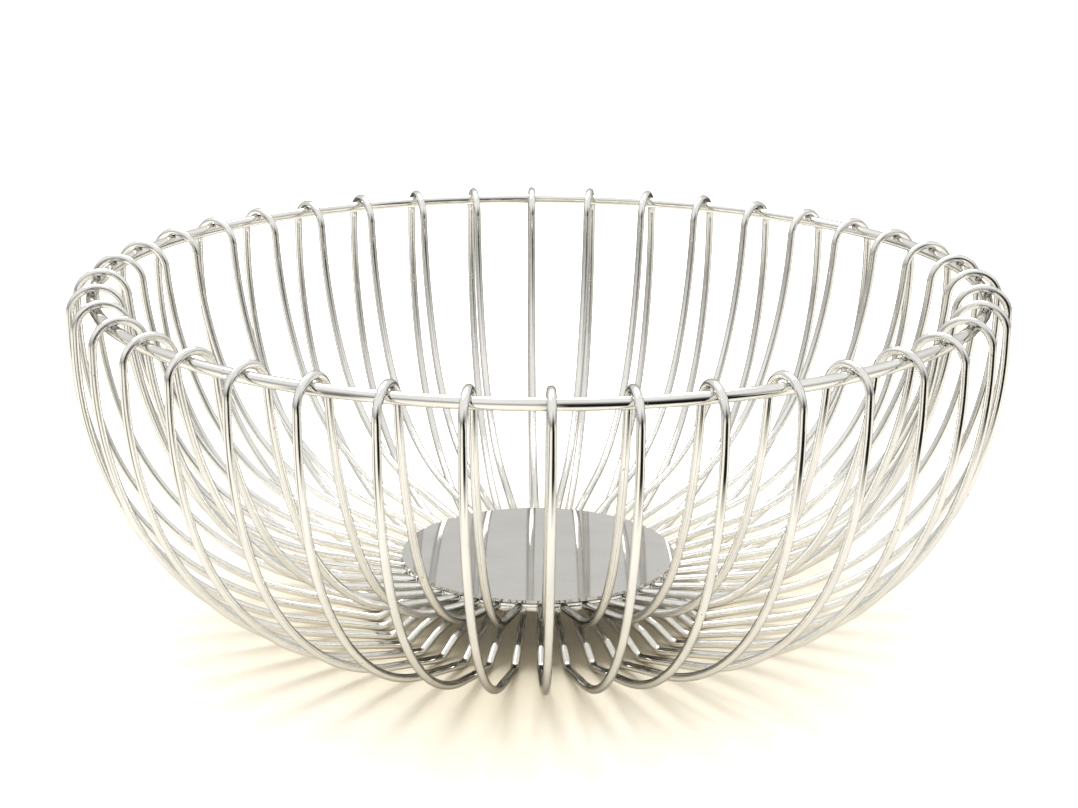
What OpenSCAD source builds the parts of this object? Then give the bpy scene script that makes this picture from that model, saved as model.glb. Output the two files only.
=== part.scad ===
// Round wire produce basket. Hairpin ribs of thin wire hang over a thicker rim ring. Each rib's
// inner leg shapes the bowl and ends at the base ring, and its outer leg reaches the table, turns
// up at a foot and ends under the base plate.
// Millimetres. The origin is on the basket's axis at table level, and +Z is up.

/* [Rim ring] */
// Radius of the rim ring, to the middle of its wire
rim_r = 150; // [146:1:154]
// Diameter of the rim ring's wire
rim_d = 4; // [3.6:0.1:4.4]
// Height of the middle of the rim ring above the table
rim_z = 120; // [118.5:0.5:122]

/* [Ribs] */
// Number of ribs around the basket
rib_count = 40; // [24:1:44]
// Diameter of a rib's wire
rib_d = 2.8; // [2.5:0.1:3]
// Radius of the arch that a rib makes over the rim ring
arch_bend = 8.7; // [8.5:0.1:9]
// How far the middle of the arch lies inside the rim ring
arch_inset = 1.25; // [0.8:0.05:1.6]

/* [Outer legs] */
// Straight drop below the arch
outer_drop = 5.1; // [4:0.1:6]
// Bend radius of the upper part of the leg
outer_upper_bend = 132; // [128:1:136]
// Steepness where the upper part ends, in degrees from straight down
outer_upper_angle = 20; // [18:0.5:22]
// Bend radius of the lower part of the leg
outer_lower_bend = 90; // [88:1:92]
// Steepness of the straight run to the foot, in degrees from straight down
outer_run_angle = 77.2; // [76.5:0.1:78]

/* [Feet] */
// Bend radius of the foot
foot_bend = 5; // [4:0.5:6]
// Slope of the wire as it rises behind the foot, in degrees
foot_rise_angle = 34; // [30:1:38]
// Length of wire between the foot and the small set in it
foot_rise_run = 6.4; // [5.5:0.1:7]
// Bend radius of the small set
set_bend = 2.5; // [2:0.5:4]
// Slope of the wire after the set, in degrees
tail_angle = 24; // [22:1:26]
// Length of the sloping tail under the base
tail_run = 13.5; // [12:0.5:15]
// Bend radius where the tail turns straight up
tail_bend = 4; // [3:0.5:4.5]

/* [Inner legs] */
// How far the leg leans inwards where it leaves the arch, in degrees
inner_lean = 5; // [4:0.5:6]
// Bend radius of the upper part of the leg
inner_upper_bend = 141.5; // [139:0.5:144]
// Steepness where the upper part ends, in degrees from straight down
inner_upper_angle = 26.5; // [25:0.5:28]
// Bend radius of the lower part of the leg
inner_lower_bend = 72; // [70:1:74]
// Steepness of the straight run to the base ring, in degrees from straight down
inner_run_angle = 77.3; // [76.5:0.1:78]

/* [Base] */
// Radius of the base ring, to the middle of its wire
base_ring_r = 46; // [44:0.5:48]
// Diameter of the base ring's wire
base_ring_d = 4; // [3.6:0.1:4.4]
// How far the plate's edge stands out from the middle of the base ring's wire
plate_overhang = 2; // [0.5:0.1:2]
// Thickness of the base plate
plate_t = 1; // [0.8:0.1:1.5]

/* [Hidden] */
$fn = 96;
two_digits = function(n) str(n < 10 ? "0" : "", n);
RIBS = [for (i = [1:rib_count]) str("rib_", two_digits(i))];

// How deep a weld sinks one piece into the next: wire across wire, a wire's end into wire or
// plate, and the plate on the base ring
cross_weld = 0.15;
end_weld = 0.05;
plate_weld = 0.015;

// Where lengths of a rib's wire join: how much thinner every other one is, and how far it laps
joint_step = 0.03;
joint_lap = 0.1;

steel = "silver";
mirror_steel = "gainsboro";

// A place on a rib is [distance from the axis, height, heading]. The heading is in degrees: 0 is
// outwards, 90 up and -90 down. A step is [length, 0] for straight wire, or [bend radius, turn].
function angle_of(arc, bend) = arc / bend * 180 / PI;

function bend_centre(at, bend, turn) =
    [at[0] - sign(turn) * bend * sin(at[2]), at[1] + sign(turn) * bend * cos(at[2])];

function after_straight(at, run) =
    [at[0] + run * cos(at[2]), at[1] + run * sin(at[2]), at[2]];

function after_bend(at, bend, turn) =
    let (centre = bend_centre(at, bend, turn), heading = at[2] + turn)
    [
        centre[0] + sign(turn) * bend * sin(heading),
        centre[1] - sign(turn) * bend * cos(heading),
        heading
    ];

function after_step(at, step) =
    step[1] == 0 ? after_straight(at, step[0]) : after_bend(at, step[0], step[1]);

function after_steps(at, steps, i = 0) =
    i == len(steps) ? at : after_steps(after_step(at, steps[i]), steps, i + 1);

// The arch: its middle is as high as lets it rest on the rim ring
arch_r = rim_r - arch_inset;
arch_reach = arch_bend - (rib_d + rim_d) / 2 + cross_weld;
arch_z = rim_z - sqrt(arch_reach ^ 2 - arch_inset ^ 2);
arch_start = [arch_r + arch_bend, arch_z, 90];
arch_turn = 180 - inner_lean;

// The inner leg: its straight run points at the middle of the base ring's wire
inner_start = after_bend(arch_start, arch_bend, arch_turn);
inner_curve = [
    [inner_upper_bend, inner_lean - inner_upper_angle],
    [inner_lower_bend, inner_upper_angle - inner_run_angle]
];
inner_low = after_steps(inner_start, inner_curve);
inner_to_ring = (inner_low[0] - base_ring_r) / sin(inner_run_angle);
inner_run = inner_to_ring - base_ring_d / 2 + end_weld;
inner_steps = concat(inner_curve, [[inner_run, 0]]);

// The base: the ring is where the inner legs point, and the plate lies on it
base_ring_z = after_straight(inner_low, inner_to_ring)[1];
plate_z = base_ring_z + base_ring_d / 2 - plate_weld;
plate_r = base_ring_r + plate_overhang;

// The outer leg: its straight run is as long as brings the foot down to the table
outer_start = [arch_start[0], arch_z, -90];
outer_curve = [
    [outer_drop, 0],
    [outer_upper_bend, -outer_upper_angle],
    [outer_lower_bend, outer_upper_angle - outer_run_angle]
];
outer_low = after_steps(outer_start, outer_curve);
foot_start_z = rib_d / 2 + foot_bend * (1 - sin(outer_run_angle));
outer_run = (outer_low[1] - foot_start_z) / cos(outer_run_angle);
foot_steps = concat(outer_curve, [
    [outer_run, 0],
    [foot_bend, outer_run_angle - 90 - foot_rise_angle],
    [foot_rise_run, 0],
    [set_bend, foot_rise_angle - tail_angle],
    [tail_run, 0],
    [tail_bend, tail_angle - 90]
]);
tail_rise = plate_z + end_weld - after_steps(outer_start, foot_steps)[1];
outer_steps = concat(foot_steps, [[tail_rise, 0]]);

// Straight wire of diameter d from a place, run long, going back_lap further back and on_lap
// further on
module straight_wire(at, run, d, back_lap, on_lap) {
    from = after_straight(at, -back_lap);
    translate([from[0], from[1]])
        rotate(at[2]) rotate([0, 90, 0]) cylinder(d = d, h = back_lap + run + on_lap);
}

// Wire of diameter d bent through turn degrees, with the same two laps
module bent_wire(at, bend, turn, d, back_lap, on_lap) {
    back_angle = angle_of(back_lap, bend);
    on_angle = angle_of(on_lap, bend);
    first = turn > 0 ? at[2] - 90 - back_angle : at[2] + 90 + turn - on_angle;
    translate(bend_centre(at, bend, turn))
        rotate_extrude(start = first, angle = abs(turn) + back_angle + on_angle)
            translate([bend, 0]) circle(d = d);
}

// Wire along a list of steps, drawn in the XY plane. Every other length is a little thinner, and
// runs a short way inside the lengths beside it.
module wire(at, steps, i = 0) {
    if (i < len(steps)) {
        thin = i % 2 == 0;
        d = thin ? rib_d - joint_step : rib_d;
        back_lap = thin ? joint_lap : 0;
        on_lap = thin && i < len(steps) - 1 ? joint_lap : 0;
        if (steps[i][1] == 0) straight_wire(at, steps[i][0], d, back_lap, on_lap);
        else bent_wire(at, steps[i][0], steps[i][1], d, back_lap, on_lap);
        wire(after_step(at, steps[i]), steps, i + 1);
    }
}

// A closed ring of round wire, with its middle at height z
module wire_ring(r, d, z) {
    translate([0, 0, z]) rotate_extrude() translate([r, 0]) circle(d = d);
}

module rim_ring() {
    color(steel) wire_ring(rim_r, rim_d, rim_z);
}

module base_ring() {
    color(steel) wire_ring(base_ring_r, base_ring_d, base_ring_z);
}

module base_plate() {
    color(mirror_steel) translate([0, 0, plate_z]) cylinder(r = plate_r, h = plate_t);
}

// Rib number 0 is at the front, on -Y, and the numbers run anticlockwise seen from above
module rib(number) {
    color(steel) rotate(number * 360 / rib_count - 90) rotate([90, 0, 0]) {
        bent_wire(arch_start, arch_bend, arch_turn, rib_d, 0, 0);
        wire(inner_start, inner_steps);
        wire(outer_start, outer_steps);
    }
}

rim_ring();
base_ring();
base_plate();
for (i = [1:rib_count]) rib(i - 1);
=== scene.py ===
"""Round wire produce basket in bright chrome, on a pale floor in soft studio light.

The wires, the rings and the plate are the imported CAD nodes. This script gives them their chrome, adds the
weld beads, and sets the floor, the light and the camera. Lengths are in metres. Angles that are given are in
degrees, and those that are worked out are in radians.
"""

import math
from collections import namedtuple

import bmesh
import bpy
from mathutils import Matrix, Vector, noise


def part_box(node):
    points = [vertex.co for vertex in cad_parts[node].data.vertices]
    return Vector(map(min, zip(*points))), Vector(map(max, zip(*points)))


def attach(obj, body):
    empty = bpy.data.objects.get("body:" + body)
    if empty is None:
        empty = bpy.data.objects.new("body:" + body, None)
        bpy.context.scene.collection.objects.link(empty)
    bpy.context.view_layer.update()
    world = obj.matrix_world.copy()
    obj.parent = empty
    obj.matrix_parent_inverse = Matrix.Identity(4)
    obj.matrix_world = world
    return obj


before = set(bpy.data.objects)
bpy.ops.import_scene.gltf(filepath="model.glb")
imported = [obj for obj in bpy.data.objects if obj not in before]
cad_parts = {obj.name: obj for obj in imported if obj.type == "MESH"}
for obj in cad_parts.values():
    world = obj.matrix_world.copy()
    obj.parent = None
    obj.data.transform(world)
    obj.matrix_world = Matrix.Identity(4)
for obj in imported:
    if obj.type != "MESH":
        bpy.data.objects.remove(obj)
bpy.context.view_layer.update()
scene = bpy.context.scene

MM = 0.001

# ---------------------------------------------------------------- sizes, read from the frame

rim_low, rim_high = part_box("rim_ring")
RIM_D = rim_high.z - rim_low.z
RIM_R = rim_high.x - RIM_D / 2
RIM_Z = (rim_low.z + rim_high.z) / 2

base_low, base_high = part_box("base_ring")
BASE_D = base_high.z - base_low.z
BASE_R = base_high.x - BASE_D / 2
BASE_Z = (base_low.z + base_high.z) / 2

RIBS = sorted(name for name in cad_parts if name.startswith("rib_"))
RIB_STEP = 2 * math.pi / len(RIBS)
first_low, first_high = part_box(RIBS[0])
RIB_D = first_high.x - first_low.x

# ---------------------------------------------------------------- camera

# The eye stands in front of the basket and a little to its left, and looks down at it
EYE_AZIMUTH = -1.3236
EYE_GROUND_DISTANCE = 5.0125 * RIM_R
EYE_HEIGHT = 1.9592 * RIM_R
LOOK_DOWN = 16.108
ROLL = 0.3306
SENSOR_WIDTH_MM = 36.0
LENS_MM = 75.43


def make_camera():
    data = bpy.data.cameras.new("camera")
    data.sensor_width = SENSOR_WIDTH_MM
    data.lens = LENS_MM
    data.clip_start = 0.01
    data.clip_end = 50.0
    camera = bpy.data.objects.new("camera", data)
    scene.collection.objects.link(camera)
    azimuth = math.radians(EYE_AZIMUTH)
    eye = Vector((math.sin(azimuth), -math.cos(azimuth), 0)) * EYE_GROUND_DISTANCE
    eye.z = EYE_HEIGHT
    turn = Matrix.Rotation(azimuth, 4, "Z")
    tilt = Matrix.Rotation(math.radians(90 - LOOK_DOWN), 4, "X")
    roll = Matrix.Rotation(math.radians(ROLL), 4, "Z")
    camera.matrix_world = Matrix.Translation(eye) @ turn @ tilt @ roll
    scene.camera = camera


# ---------------------------------------------------------------- node helpers


class Nodes:
    """A short way to write a node tree: each call adds a node and links or sets its inputs."""

    def __init__(self, tree):
        self.tree = tree
        tree.nodes.clear()

    def add(self, kind, settings=None, **inputs):
        """Inputs go by name, with _ for a space, or by number, as i0 or i1."""
        made = self.tree.nodes.new(kind)
        for name, value in (settings or {}).items():
            setattr(made, name, value)
        for name, value in inputs.items():
            key = int(name[1:]) if name[0] == "i" and name[1:].isdigit() else name.replace("_", " ")
            self.put(made.inputs[key], value)
        return made

    def put(self, socket, value):
        if isinstance(value, bpy.types.NodeSocket):
            self.tree.links.new(value, socket)
        else:
            socket.default_value = value

    def math(self, operation, *values):
        made = self.tree.nodes.new("ShaderNodeMath")
        made.operation = operation
        for socket, value in zip(made.inputs, values):
            self.put(socket, value)
        return made.outputs[0]

    def vector(self, x, y, z):
        return self.add("ShaderNodeCombineXYZ", X=x, Y=y, Z=z).outputs[0]

    def noise(self, vector, scale, detail=2.0, roughness=0.5):
        made = self.add("ShaderNodeTexNoise", Vector=vector, Scale=scale, Detail=detail, Roughness=roughness)
        return made.outputs[0]

    def ramp(self, value, low, high, low_out, high_out):
        made = self.add("ShaderNodeMapRange", Value=value)
        ends = (("From Min", low), ("From Max", high), ("To Min", low_out), ("To Max", high_out))
        for name, number in ends:
            made.inputs[name].default_value = number
        return made.outputs[0]

    def mix(self, factor, low, high):
        made = self.add("ShaderNodeMix", {"data_type": "RGBA"})
        # Its sockets for numbers, vectors and colours share their names, so these go by number
        for index, value in ((0, factor), (6, low), (7, high)):
            self.put(made.inputs[index], value)
        return made.outputs[2]


def new_material(name):
    material = bpy.data.materials.new(name)
    material.use_nodes = True
    return material, Nodes(material.node_tree)


# ---------------------------------------------------------------- chrome

# A noise, below, is its scale, detail and roughness. A fade is the two values between which something
# changes, and what it is at each.

# A finish: the colours of fresh and dull metal, the tint of reflections near the metal's outline, the least
# and most roughness, and how deep the drawing lines are
Finish = namedtuple("Finish", "bright dull edge smooth rough line_depth")

WHITE_METAL = (0.86, 0.855, 0.835, 1.0)
GREY_METAL = (0.75, 0.745, 0.72, 1.0)
RIB_FINISH = Finish(WHITE_METAL, GREY_METAL, (0.35, 0.34, 0.32, 1.0), 0.04, 0.13, 0.0012 * MM)
RING_FINISH = Finish(WHITE_METAL, GREY_METAL, (0.55, 0.54, 0.52, 1.0), 0.04, 0.12, 0.0012 * MM)
PLATE_FINISH = Finish(
    (0.60, 0.595, 0.58, 1.0), (0.54, 0.535, 0.52, 1.0), (0.80, 0.79, 0.77, 1.0), 0.03, 0.07, 0.0003 * MM
)

# Fine lines left by drawing or polishing: how many to a metre across the metal, and how many along it
LINES_ACROSS = 5200.0
LINES_ALONG = 60.0
LINE_NOISE = (1.0, 3.0, 0.6)
# Slow changes in the plating
CLOUD_NOISE = (55.0, 3.0, 0.55)
# Wear is part cloud and part lines, and turns the metal duller and rougher
CLOUD_SHARE = 0.6
LINE_SHARE = 0.4
DULLING_FADE = (0.35, 0.65, 0.0, 1.0)
ROUGHENING_RANGE = (0.3, 0.7)
# Sparse pits: cells with a dark middle, kept only where a second noise is high
PIT_SCALE = 900.0
PIT_RADIUS = 0.22
PIT_PATCH_NOISE = (420.0, 0.0)
PIT_PATCH_LIMIT = 0.76
PIT_COLOUR = (0.10, 0.09, 0.08, 1.0)
PIT_COVER = 0.75
PIT_ROUGHNESS = 0.3
PIT_DEPTH = 0.02 * MM


def pits(n, place):
    """1 in a pit and 0 elsewhere."""
    cells = n.add("ShaderNodeTexVoronoi", Vector=place, Scale=PIT_SCALE)
    patches = n.noise(place, *PIT_PATCH_NOISE)
    near_middle = n.math("LESS_THAN", cells.outputs["Distance"], PIT_RADIUS)
    return n.math("MULTIPLY", near_middle, n.math("GREATER_THAN", patches, PIT_PATCH_LIMIT))


def chrome(name, finish, across, along):
    """Chrome plate over drawn steel. across and along are functions that give, for a set of nodes and an
    object position, the place across the drawing lines and along them, in metres."""
    material, n = new_material(name)
    place = n.add("ShaderNodeTexCoord").outputs["Object"]
    side = n.math("MULTIPLY", across(n, place), LINES_ACROSS)
    length = n.math("MULTIPLY", along(n, place), LINES_ALONG)
    lines = n.noise(n.vector(side, length, 0.0), *LINE_NOISE)
    cloud = n.noise(place, *CLOUD_NOISE)
    spots = pits(n, place)
    wear = n.math("ADD", n.math("MULTIPLY", cloud, CLOUD_SHARE), n.math("MULTIPLY", lines, LINE_SHARE))
    tone = n.mix(n.ramp(wear, *DULLING_FADE), finish.bright, finish.dull)
    sheen = n.ramp(wear, *ROUGHENING_RANGE, finish.smooth, finish.rough)
    grooves = n.math("MULTIPLY", lines, finish.line_depth)
    relief = n.math("SUBTRACT", grooves, n.math("MULTIPLY", spots, PIT_DEPTH))
    bump = n.add("ShaderNodeBump", Height=relief, Strength=1.0, Distance=1.0)
    shader = n.add(
        "ShaderNodeBsdfPrincipled",
        Base_Color=n.mix(n.math("MULTIPLY", spots, PIT_COVER), tone, PIT_COLOUR),
        Specular_Tint=finish.edge,
        Roughness=n.math("ADD", sheen, n.math("MULTIPLY", spots, PIT_ROUGHNESS)),
        Normal=bump.outputs[0],
        Metallic=1.0,
    )
    n.add("ShaderNodeOutputMaterial", Surface=shader.outputs[0])
    return material


def radius(n, place):
    """Distance from the basket's axis."""
    part = n.add("ShaderNodeSeparateXYZ", i0=place)
    level = n.vector(part.outputs["X"], part.outputs["Y"], 0.0)
    return n.add("ShaderNodeVectorMath", {"operation": "LENGTH"}, i0=level).outputs["Value"]


def height(n, place):
    return n.add("ShaderNodeSeparateXYZ", i0=place).outputs["Z"]


def bearing(n, place):
    """Angle around the basket's axis, in radians."""
    part = n.add("ShaderNodeSeparateXYZ", i0=place)
    return n.math("ARCTAN2", part.outputs["Y"], part.outputs["X"])


def off_rib_plane(n, place):
    """Distance from the upright plane that the nearest rib lies in, in metres."""
    angle = bearing(n, place)
    nearest = n.math("MULTIPLY", n.math("ROUND", n.math("DIVIDE", angle, RIB_STEP)), RIB_STEP)
    return n.math("MULTIPLY", n.math("SINE", n.math("SUBTRACT", angle, nearest)), radius(n, place))


# How far apart in the line pattern two neighbouring ribs are, so that no two look alike
RIB_SHIFT = 3.7


def along_rib(n, place):
    """Changes along a rib, and differs from rib to rib."""
    number = n.math("ROUND", n.math("DIVIDE", bearing(n, place), RIB_STEP))
    run = n.math("ADD", radius(n, place), height(n, place))
    return n.math("ADD", run, n.math("MULTIPLY", number, RIB_SHIFT))


# How fast a ring's lines follow the radius, against the height
RING_SLANT = 0.7


def across_ring(n, place):
    return n.math("ADD", height(n, place), n.math("MULTIPLY", radius(n, place), RING_SLANT))


def along_ring(n, place):
    """The way round a ring or the plate, as it would be measured at the rim."""
    return n.math("MULTIPLY", bearing(n, place), RIM_R)


WELD_BRIGHT = (0.80, 0.79, 0.77, 1.0)
WELD_DULL = (0.58, 0.56, 0.53, 1.0)
WELD_GRAIN_NOISE = (1500.0, 4.0, 0.65)
WELD_MARK_NOISE = (600.0, 2.0)
WELD_DULLING_FADE = (0.42, 0.6, 0.0, 1.0)
WELD_ROUGHNESS_FADE = (0.3, 0.7, 0.16, 0.42)
WELD_DEPTH = 0.05 * MM


def weld_material():
    """Weld metal under thin plating: rougher and darker than the wire."""
    material, n = new_material("weld_chrome")
    place = n.add("ShaderNodeTexCoord").outputs["Object"]
    grain = n.noise(place, *WELD_GRAIN_NOISE)
    marks = n.noise(place, *WELD_MARK_NOISE)
    bump = n.add("ShaderNodeBump", Height=n.math("MULTIPLY", grain, WELD_DEPTH), Strength=1.0, Distance=1.0)
    shader = n.add(
        "ShaderNodeBsdfPrincipled",
        Base_Color=n.mix(n.ramp(marks, *WELD_DULLING_FADE), WELD_BRIGHT, WELD_DULL),
        Roughness=n.ramp(grain, *WELD_ROUGHNESS_FADE),
        Normal=bump.outputs[0],
        Metallic=1.0,
    )
    n.add("ShaderNodeOutputMaterial", Surface=shader.outputs[0])
    return material


def dress(node_name, material):
    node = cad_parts[node_name]
    node.data.materials.clear()
    node.data.materials.append(material)


def dress_metal():
    rib_chrome = chrome("rib_chrome", RIB_FINISH, off_rib_plane, along_rib)
    ring_chrome = chrome("ring_chrome", RING_FINISH, across_ring, along_ring)
    plate_chrome = chrome("plate_chrome", PLATE_FINISH, radius, along_ring)
    for name in RIBS:
        dress(name, rib_chrome)
    dress("rim_ring", ring_chrome)
    dress("base_ring", ring_chrome)
    dress("base_plate", plate_chrome)


# ---------------------------------------------------------------- weld beads

BEAD_RINGS = 10
BEAD_SIDES = 16
# How uneven a bead's skin is, how many lumps it has, and what makes every bead differ from the next
BEAD_LUMPS = 0.22
BEAD_LUMP_SCALE = 1.7
BEAD_PLACE_SCALE = 900.0

# How far a rim bead's middle is round the ring's section from its highest line, in degrees, and the bead's
# half-axes around the basket, over the ring and outwards from the ring's middle
RIM_BEAD_LEAN = 13
RIM_BEAD_SIZE = (0.57 * RIB_D, 0.24 * RIB_D, 0.11 * RIB_D)
# The slope of an inner leg where it meets the base ring, in degrees, and a base bead's half-axes around the
# basket, across the leg and along the leg. The bead's middle stands a little off the ring.
BASE_BEAD_SLOPE = 12.7
BASE_BEAD_SIZE = (0.60 * RIB_D, 0.52 * RIB_D, 0.17 * RIB_D)
BASE_BEAD_STANDOFF = 0.05 * RIB_D


def bead(mesh, middle, axes):
    """One weld bead: a rounded lump with a slightly uneven skin, drawn round middle on three half-axes."""
    made = bmesh.ops.create_uvsphere(mesh, u_segments=BEAD_SIDES, v_segments=BEAD_RINGS, radius=1.0)
    for vertex in made["verts"]:
        unit = vertex.co.copy()
        swell = 1.0 + BEAD_LUMPS * noise.noise(unit * BEAD_LUMP_SCALE + middle * BEAD_PLACE_SCALE)
        vertex.co = middle + (axes[0] * unit.x + axes[1] * unit.y + axes[2] * unit.z) * swell


def bead_set(name, material, places):
    """All the beads of one kind as one piece. places gives each bead's middle and its half-axes."""
    mesh = bmesh.new()
    for middle, axes in places:
        bead(mesh, middle, axes)
    data = bpy.data.meshes.new(name)
    mesh.to_mesh(data)
    mesh.free()
    data.polygons.foreach_set("use_smooth", [True] * len(data.polygons))
    data.materials.append(material)
    beads = bpy.data.objects.new(name, data)
    scene.collection.objects.link(beads)
    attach(beads, "root")


def rib_directions():
    """For each rib, the level direction outwards and the one around the basket."""
    for number in range(len(RIBS)):
        angle = number * RIB_STEP - math.pi / 2
        out = Vector((math.cos(angle), math.sin(angle), 0.0))
        yield out, Vector((-out.y, out.x, 0.0))


def half_axes(directions, sizes):
    return [direction * size for direction, size in zip(directions, sizes)]


def rim_bead_places():
    """Where each rib's arch rests on the rim ring: just outside the ring's highest line."""
    lean = math.radians(RIM_BEAD_LEAN)
    for out, around in rib_directions():
        up = Vector((0, 0, math.cos(lean))) + out * math.sin(lean)
        over = around.cross(up)
        middle = out * RIM_R + Vector((0, 0, RIM_Z)) + up * (RIM_D / 2)
        yield middle, half_axes((around, over, up), RIM_BEAD_SIZE)


def base_bead_places():
    """Where each inner leg ends on the outside of the base ring."""
    slope = math.radians(BASE_BEAD_SLOPE)
    for out, around in rib_directions():
        leg = out * math.cos(slope) + Vector((0, 0, math.sin(slope)))
        over = leg.cross(around)
        middle = out * BASE_R + Vector((0, 0, BASE_Z)) + leg * (BASE_D / 2 + BASE_BEAD_STANDOFF)
        yield middle, half_axes((around, over, leg), BASE_BEAD_SIZE)


# ---------------------------------------------------------------- floor, light and surroundings

FLOOR_HALF = 6.0
# Painted shade: the floor near the basket is darker and warmer, standing in for the shadow under it
FLOOR_PAINTED_SHADE = (0.83, 0.765, 0.62, 1.0)
FLOOR_WHITE = (0.97, 0.97, 0.955, 1.0)
# The floor turns from warm to white with the distance from the axis, which patches move in and out
FLOOR_WHITENING_FADE = (0.12, 0.23, 0.0, 1.0)
FLOOR_PATCH_NOISE = (9.0, 3.0)
FLOOR_PATCH_REACH = 0.12
# Painted light: away from the basket it glows white to the eye only, so that it looks overexposed
FLOOR_GLOW_FADE = (0.09, 0.27, 0.0, 0.60)
FLOOR_GRAIN_SCALE = 60.0
FLOOR_ROUGHNESS_FADE = (0.3, 0.7, 0.30, 0.42)
FLOOR_GLOSS = 0.25
# Painted reflection: its colour as the chrome reflects it, where it is painted dark
UNLIT = (0.01, 0.01, 0.01, 1.0)

# Painted reflection: where the floor is painted dark around the basket, seen only in the chrome, standing in
# for dark parts of a studio. A zone is a middle bearing, 0 towards -Y and positive towards +X, with a half
# angle and a soft edge beyond it. Its fade is by distance from the axis.
Zone = namedtuple("Zone", "middle half_angle soft_angle")
FRONT = Zone(24.0, 20.0, 6.0)
FRONT_FADE = (0.25, 0.34, 0.0, 1.0)
LEFT = Zone(-44.0, 5.0, 7.0)
LEFT_FADE = (0.20, 0.30, 0.0, 0.85)
# Behind it is painted dark only beside a white sweep
BACK = Zone(180.0, 55.0, 10.0)
SWEEP = Zone(180.0, 16.0, 8.0)
BACK_FADE = (0.10, 0.22, 0.0, 0.9)


def in_zone(n, angle, zone):
    """1 inside a zone and 0 beyond its soft edge. angle is a bearing in radians, 0 towards +X."""
    away = n.math("SUBTRACT", angle, math.radians(zone.middle - 90))
    turned = n.math("ABSOLUTE", n.math("WRAP", away, math.pi, -math.pi))
    outer = zone.half_angle + zone.soft_angle
    return n.ramp(turned, math.radians(zone.half_angle), math.radians(outer), 1.0, 0.0)


def floor_darkness(n, angle, away):
    """How dark the floor is painted for reflections in the chrome, at a bearing in radians and a distance
    from the axis.
    """
    front = n.math("MULTIPLY", in_zone(n, angle, FRONT), n.ramp(away, *FRONT_FADE))
    left = n.math("MULTIPLY", in_zone(n, angle, LEFT), n.ramp(away, *LEFT_FADE))
    beside_sweep = n.math("SUBTRACT", in_zone(n, angle, BACK), in_zone(n, angle, SWEEP))
    back = n.math("MULTIPLY", beside_sweep, n.ramp(away, *BACK_FADE))
    return n.math("MAXIMUM", n.math("MAXIMUM", front, left), back)


def floor_material():
    """A pale sweep, with painted shade near the basket, a painted glow further out that only the eye sees,
    and painted dark zones that only the chrome's reflections show. Seen from below it is clear, so that the
    underside of the basket can be looked at."""
    material, n = new_material("pale_floor")
    place = n.add("ShaderNodeTexCoord").outputs["Object"]
    away = radius(n, place)
    patch = n.noise(place, *FLOOR_PATCH_NOISE)
    reach = n.math("ADD", away, n.math("MULTIPLY", patch, FLOOR_PATCH_REACH))
    # Painted shade near the basket, turning white further out
    colour = n.mix(n.ramp(reach, *FLOOR_WHITENING_FADE), FLOOR_PAINTED_SHADE, FLOOR_WHITE)
    path = n.add("ShaderNodeLightPath")
    # Painted reflection: the floor is darkened only for rays reflected from the chrome
    dark = floor_darkness(n, bearing(n, place), away)
    shade = n.math("MULTIPLY", dark, path.outputs["Is Glossy Ray"])
    # Painted light: a glow that only the eye sees
    glow = n.ramp(away, *FLOOR_GLOW_FADE)
    shader = n.add(
        "ShaderNodeBsdfPrincipled",
        Base_Color=n.mix(shade, colour, UNLIT),
        Roughness=n.ramp(n.noise(place, FLOOR_GRAIN_SCALE), *FLOOR_ROUGHNESS_FADE),
        Specular_IOR_Level=n.math("MULTIPLY", n.math("SUBTRACT", 1.0, shade), FLOOR_GLOSS),
        Emission_Color=FLOOR_WHITE,
        Emission_Strength=n.math("MULTIPLY", glow, path.outputs["Is Camera Ray"]),
    )
    clear = n.add("ShaderNodeBsdfTransparent")
    below = n.add("ShaderNodeNewGeometry").outputs["Backfacing"]
    either = n.add("ShaderNodeMixShader", i0=below, i1=shader.outputs[0], i2=clear.outputs[0])
    n.add("ShaderNodeOutputMaterial", Surface=either.outputs[0])
    return material


def make_floor():
    data = bpy.data.meshes.new("floor")
    h = FLOOR_HALF
    data.from_pydata([(-h, -h, 0), (h, -h, 0), (h, h, 0), (-h, h, 0)], [], [(0, 1, 2, 3)])
    data.materials.append(floor_material())
    floor = bpy.data.objects.new("floor", data)
    scene.collection.objects.link(floor)


SKY_WHITE = (1.02, 1.01, 0.985, 1.0)
SKY_ROOM = (0.42, 0.415, 0.40, 1.0)
SKY_DARK = (0.02, 0.02, 0.02, 1.0)
SKY_FILL = (0.65, 0.60, 0.50, 1.0)
SKY_SEEN = (1.0, 1.0, 1.0, 1.0)
# How white it is, by how far a direction points up and by how far it points back
SKY_OVERHEAD_FADE = (0.05, 0.50, 0.0, 1.0)
SKY_BACK_FADE = (-0.15, 0.75, 0.0, 1.0)
# How dark it is in the front zone, by how far a direction points up
SKY_FRONT_FADE = (0.12, 0.75, 0.97, 0.0)


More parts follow.
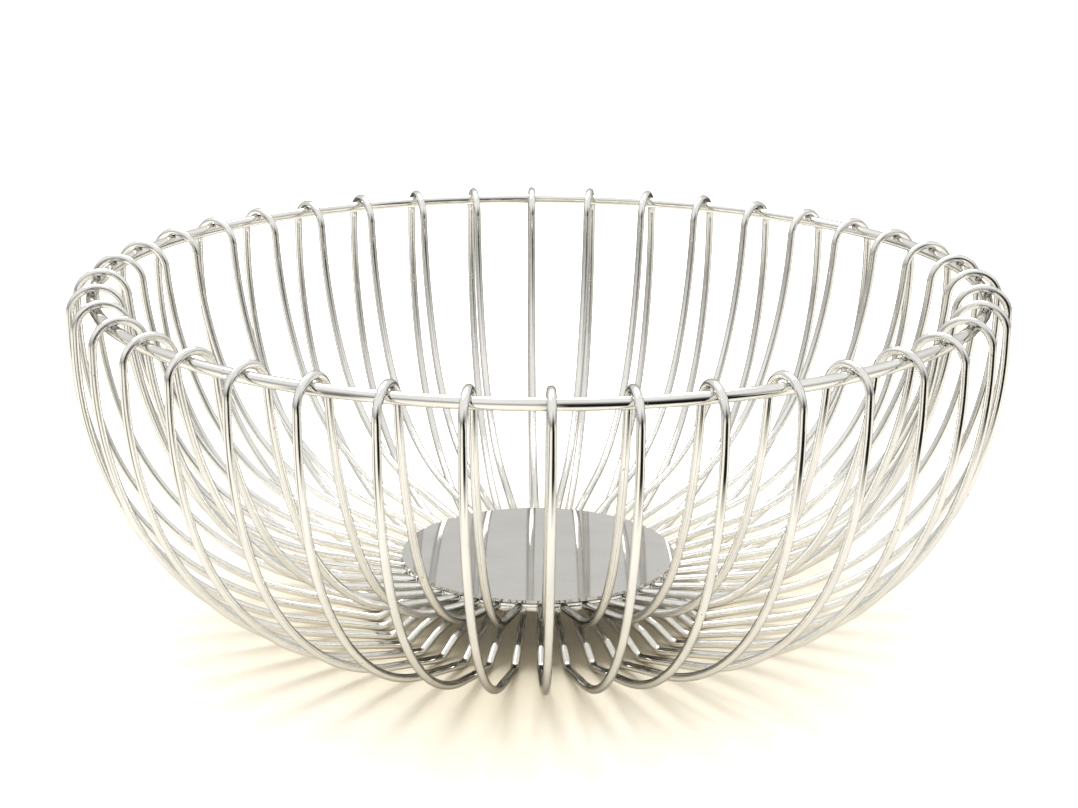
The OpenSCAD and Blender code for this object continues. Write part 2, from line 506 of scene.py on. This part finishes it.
def mirrored_sky(n):
    """What the chrome sees: white overhead and behind, a grey room low down in front and at the sides, and
    the same dark zone in front as on the floor."""
    toward = n.add("ShaderNodeTexCoord").outputs["Generated"]
    part = n.add("ShaderNodeSeparateXYZ", i0=toward)
    up, back = part.outputs["Z"], part.outputs["Y"]
    bright = n.math("MAXIMUM", n.ramp(up, *SKY_OVERHEAD_FADE), n.ramp(back, *SKY_BACK_FADE))
    room = n.mix(bright, SKY_ROOM, SKY_WHITE)
    front = in_zone(n, n.math("ARCTAN2", back, part.outputs["X"]), FRONT)
    dark = n.math("MULTIPLY", front, n.ramp(up, *SKY_FRONT_FADE))
    return n.mix(dark, room, SKY_DARK)


def make_world():
    """White to the eye, a studio in the chrome, and a weak warm fill in the shadows."""
    world = bpy.data.worlds.new("studio")
    world.use_nodes = True
    n = Nodes(world.node_tree)
    path = n.add("ShaderNodeLightPath")
    filled = n.mix(path.outputs["Is Diffuse Ray"], mirrored_sky(n), SKY_FILL)
    seen = n.mix(path.outputs["Is Camera Ray"], filled, SKY_SEEN)
    sky = n.add("ShaderNodeBackground", Color=seen, Strength=1.0)
    n.add("ShaderNodeOutputWorld", Surface=sky.outputs[0])
    scene.world = world


LIGHT_PLACE = Vector((-0.20, 0.55, 1.45))
LIGHT_SIZE = (1.5, 1.0)
LIGHT_WATTS = 27.0
LIGHT_COLOUR = (1.0, 0.985, 0.96)


def make_light():
    """A soft box above and behind that looks at the middle of the basket."""
    data = bpy.data.lights.new("top_box", "AREA")
    data.shape = "RECTANGLE"
    data.size, data.size_y = LIGHT_SIZE
    data.energy = LIGHT_WATTS
    data.color = LIGHT_COLOUR
    light = bpy.data.objects.new("top_box", data)
    light.location = LIGHT_PLACE
    aim = Vector((0, 0, RIM_Z / 2)) - light.location
    light.rotation_mode = "QUATERNION"
    light.rotation_quaternion = aim.to_track_quat("-Z", "Y")
    scene.collection.objects.link(light)


def make_studio():
    make_world()
    make_floor()
    make_light()


# ---------------------------------------------------------------- all of it

make_camera()
dress_metal()
weld_chrome = weld_material()
bead_set("rim_welds", weld_chrome, rim_bead_places())
bead_set("base_welds", weld_chrome, base_bead_places())
make_studio()
scene.view_settings.view_transform = "Standard"
